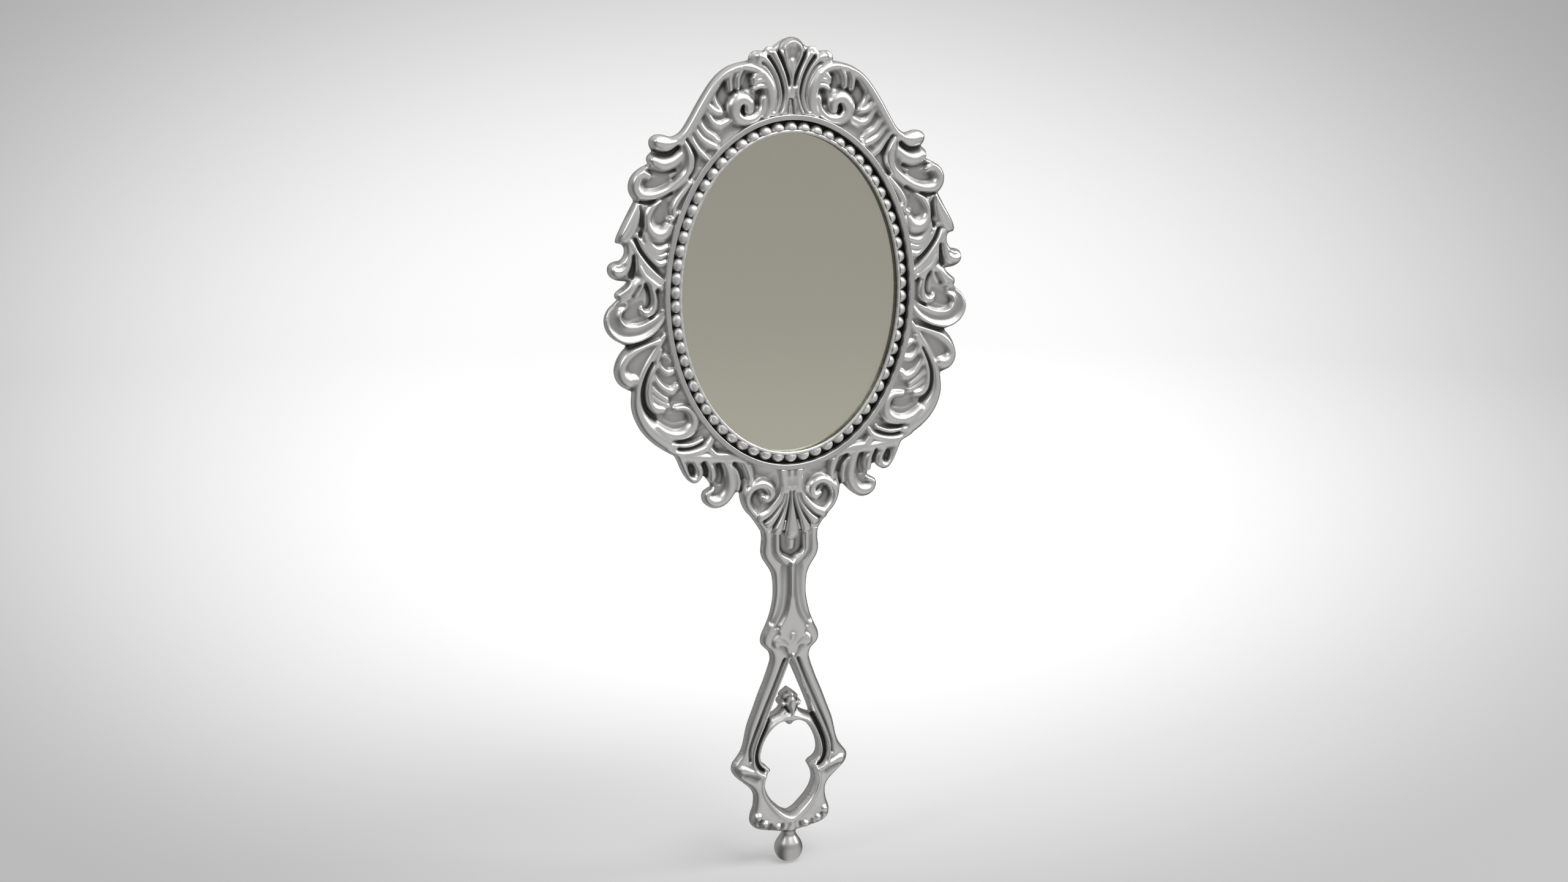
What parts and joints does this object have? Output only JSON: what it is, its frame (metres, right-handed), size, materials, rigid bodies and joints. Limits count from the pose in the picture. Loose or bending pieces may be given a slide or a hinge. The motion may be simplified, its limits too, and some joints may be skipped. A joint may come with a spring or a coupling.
{
  "type": "hand mirror",
  "caption": "Hand mirror: oval glass in a cast frame of openwork scrolls, with a pierced cast handle and a drop-shaped finial.",
  "frame": {"origin": "foot of the finial, on the left-right symmetry plane, at mid-thickness", "axes": "+Z along the handle towards the crest, -Y is the way the glass faces, +X is to the right seen from the front"},
  "size_m": [0.113, 0.0092, 0.25],
  "materials": {
    "cast_silver": "polished cast silver with darkened recesses",
    "satin_silver": "satin silver",
    "bright_silver": "polished",
    "steel_hardware": "turned",
    "gasket": "matte",
    "clear_glass": "clear",
    "silvering": "mirror",
    "backing_paint": "matte",
    "felt": "matte",
    "board": "matte pressed fibre board"
  },
  "bodies": {
    "root": {"head_casting": "cast_silver", "crest_palmette": "cast_silver", "crest_pins": "steel_hardware", "neck_shell": "cast_silver", "shell_pins": "steel_hardware", "rim_band": "satin_silver", "bead_ring": "bright_silver", "glass_bezel": "bright_silver", "edge_gasket": "gasket", "mirror_glass": "clear_glass", "mirror_silvering": "silvering", "mirror_backing_paint": "backing_paint", "cushion_felt": "felt", "backing_board": "board", "back_cover": "satin_silver", "cover_screws": "steel_hardware", "handle_casting": "cast_silver", "joint_screws": "steel_hardware", "finial": "cast_silver", "finial_stud": "steel_hardware"}
  },
  "joints": []
}
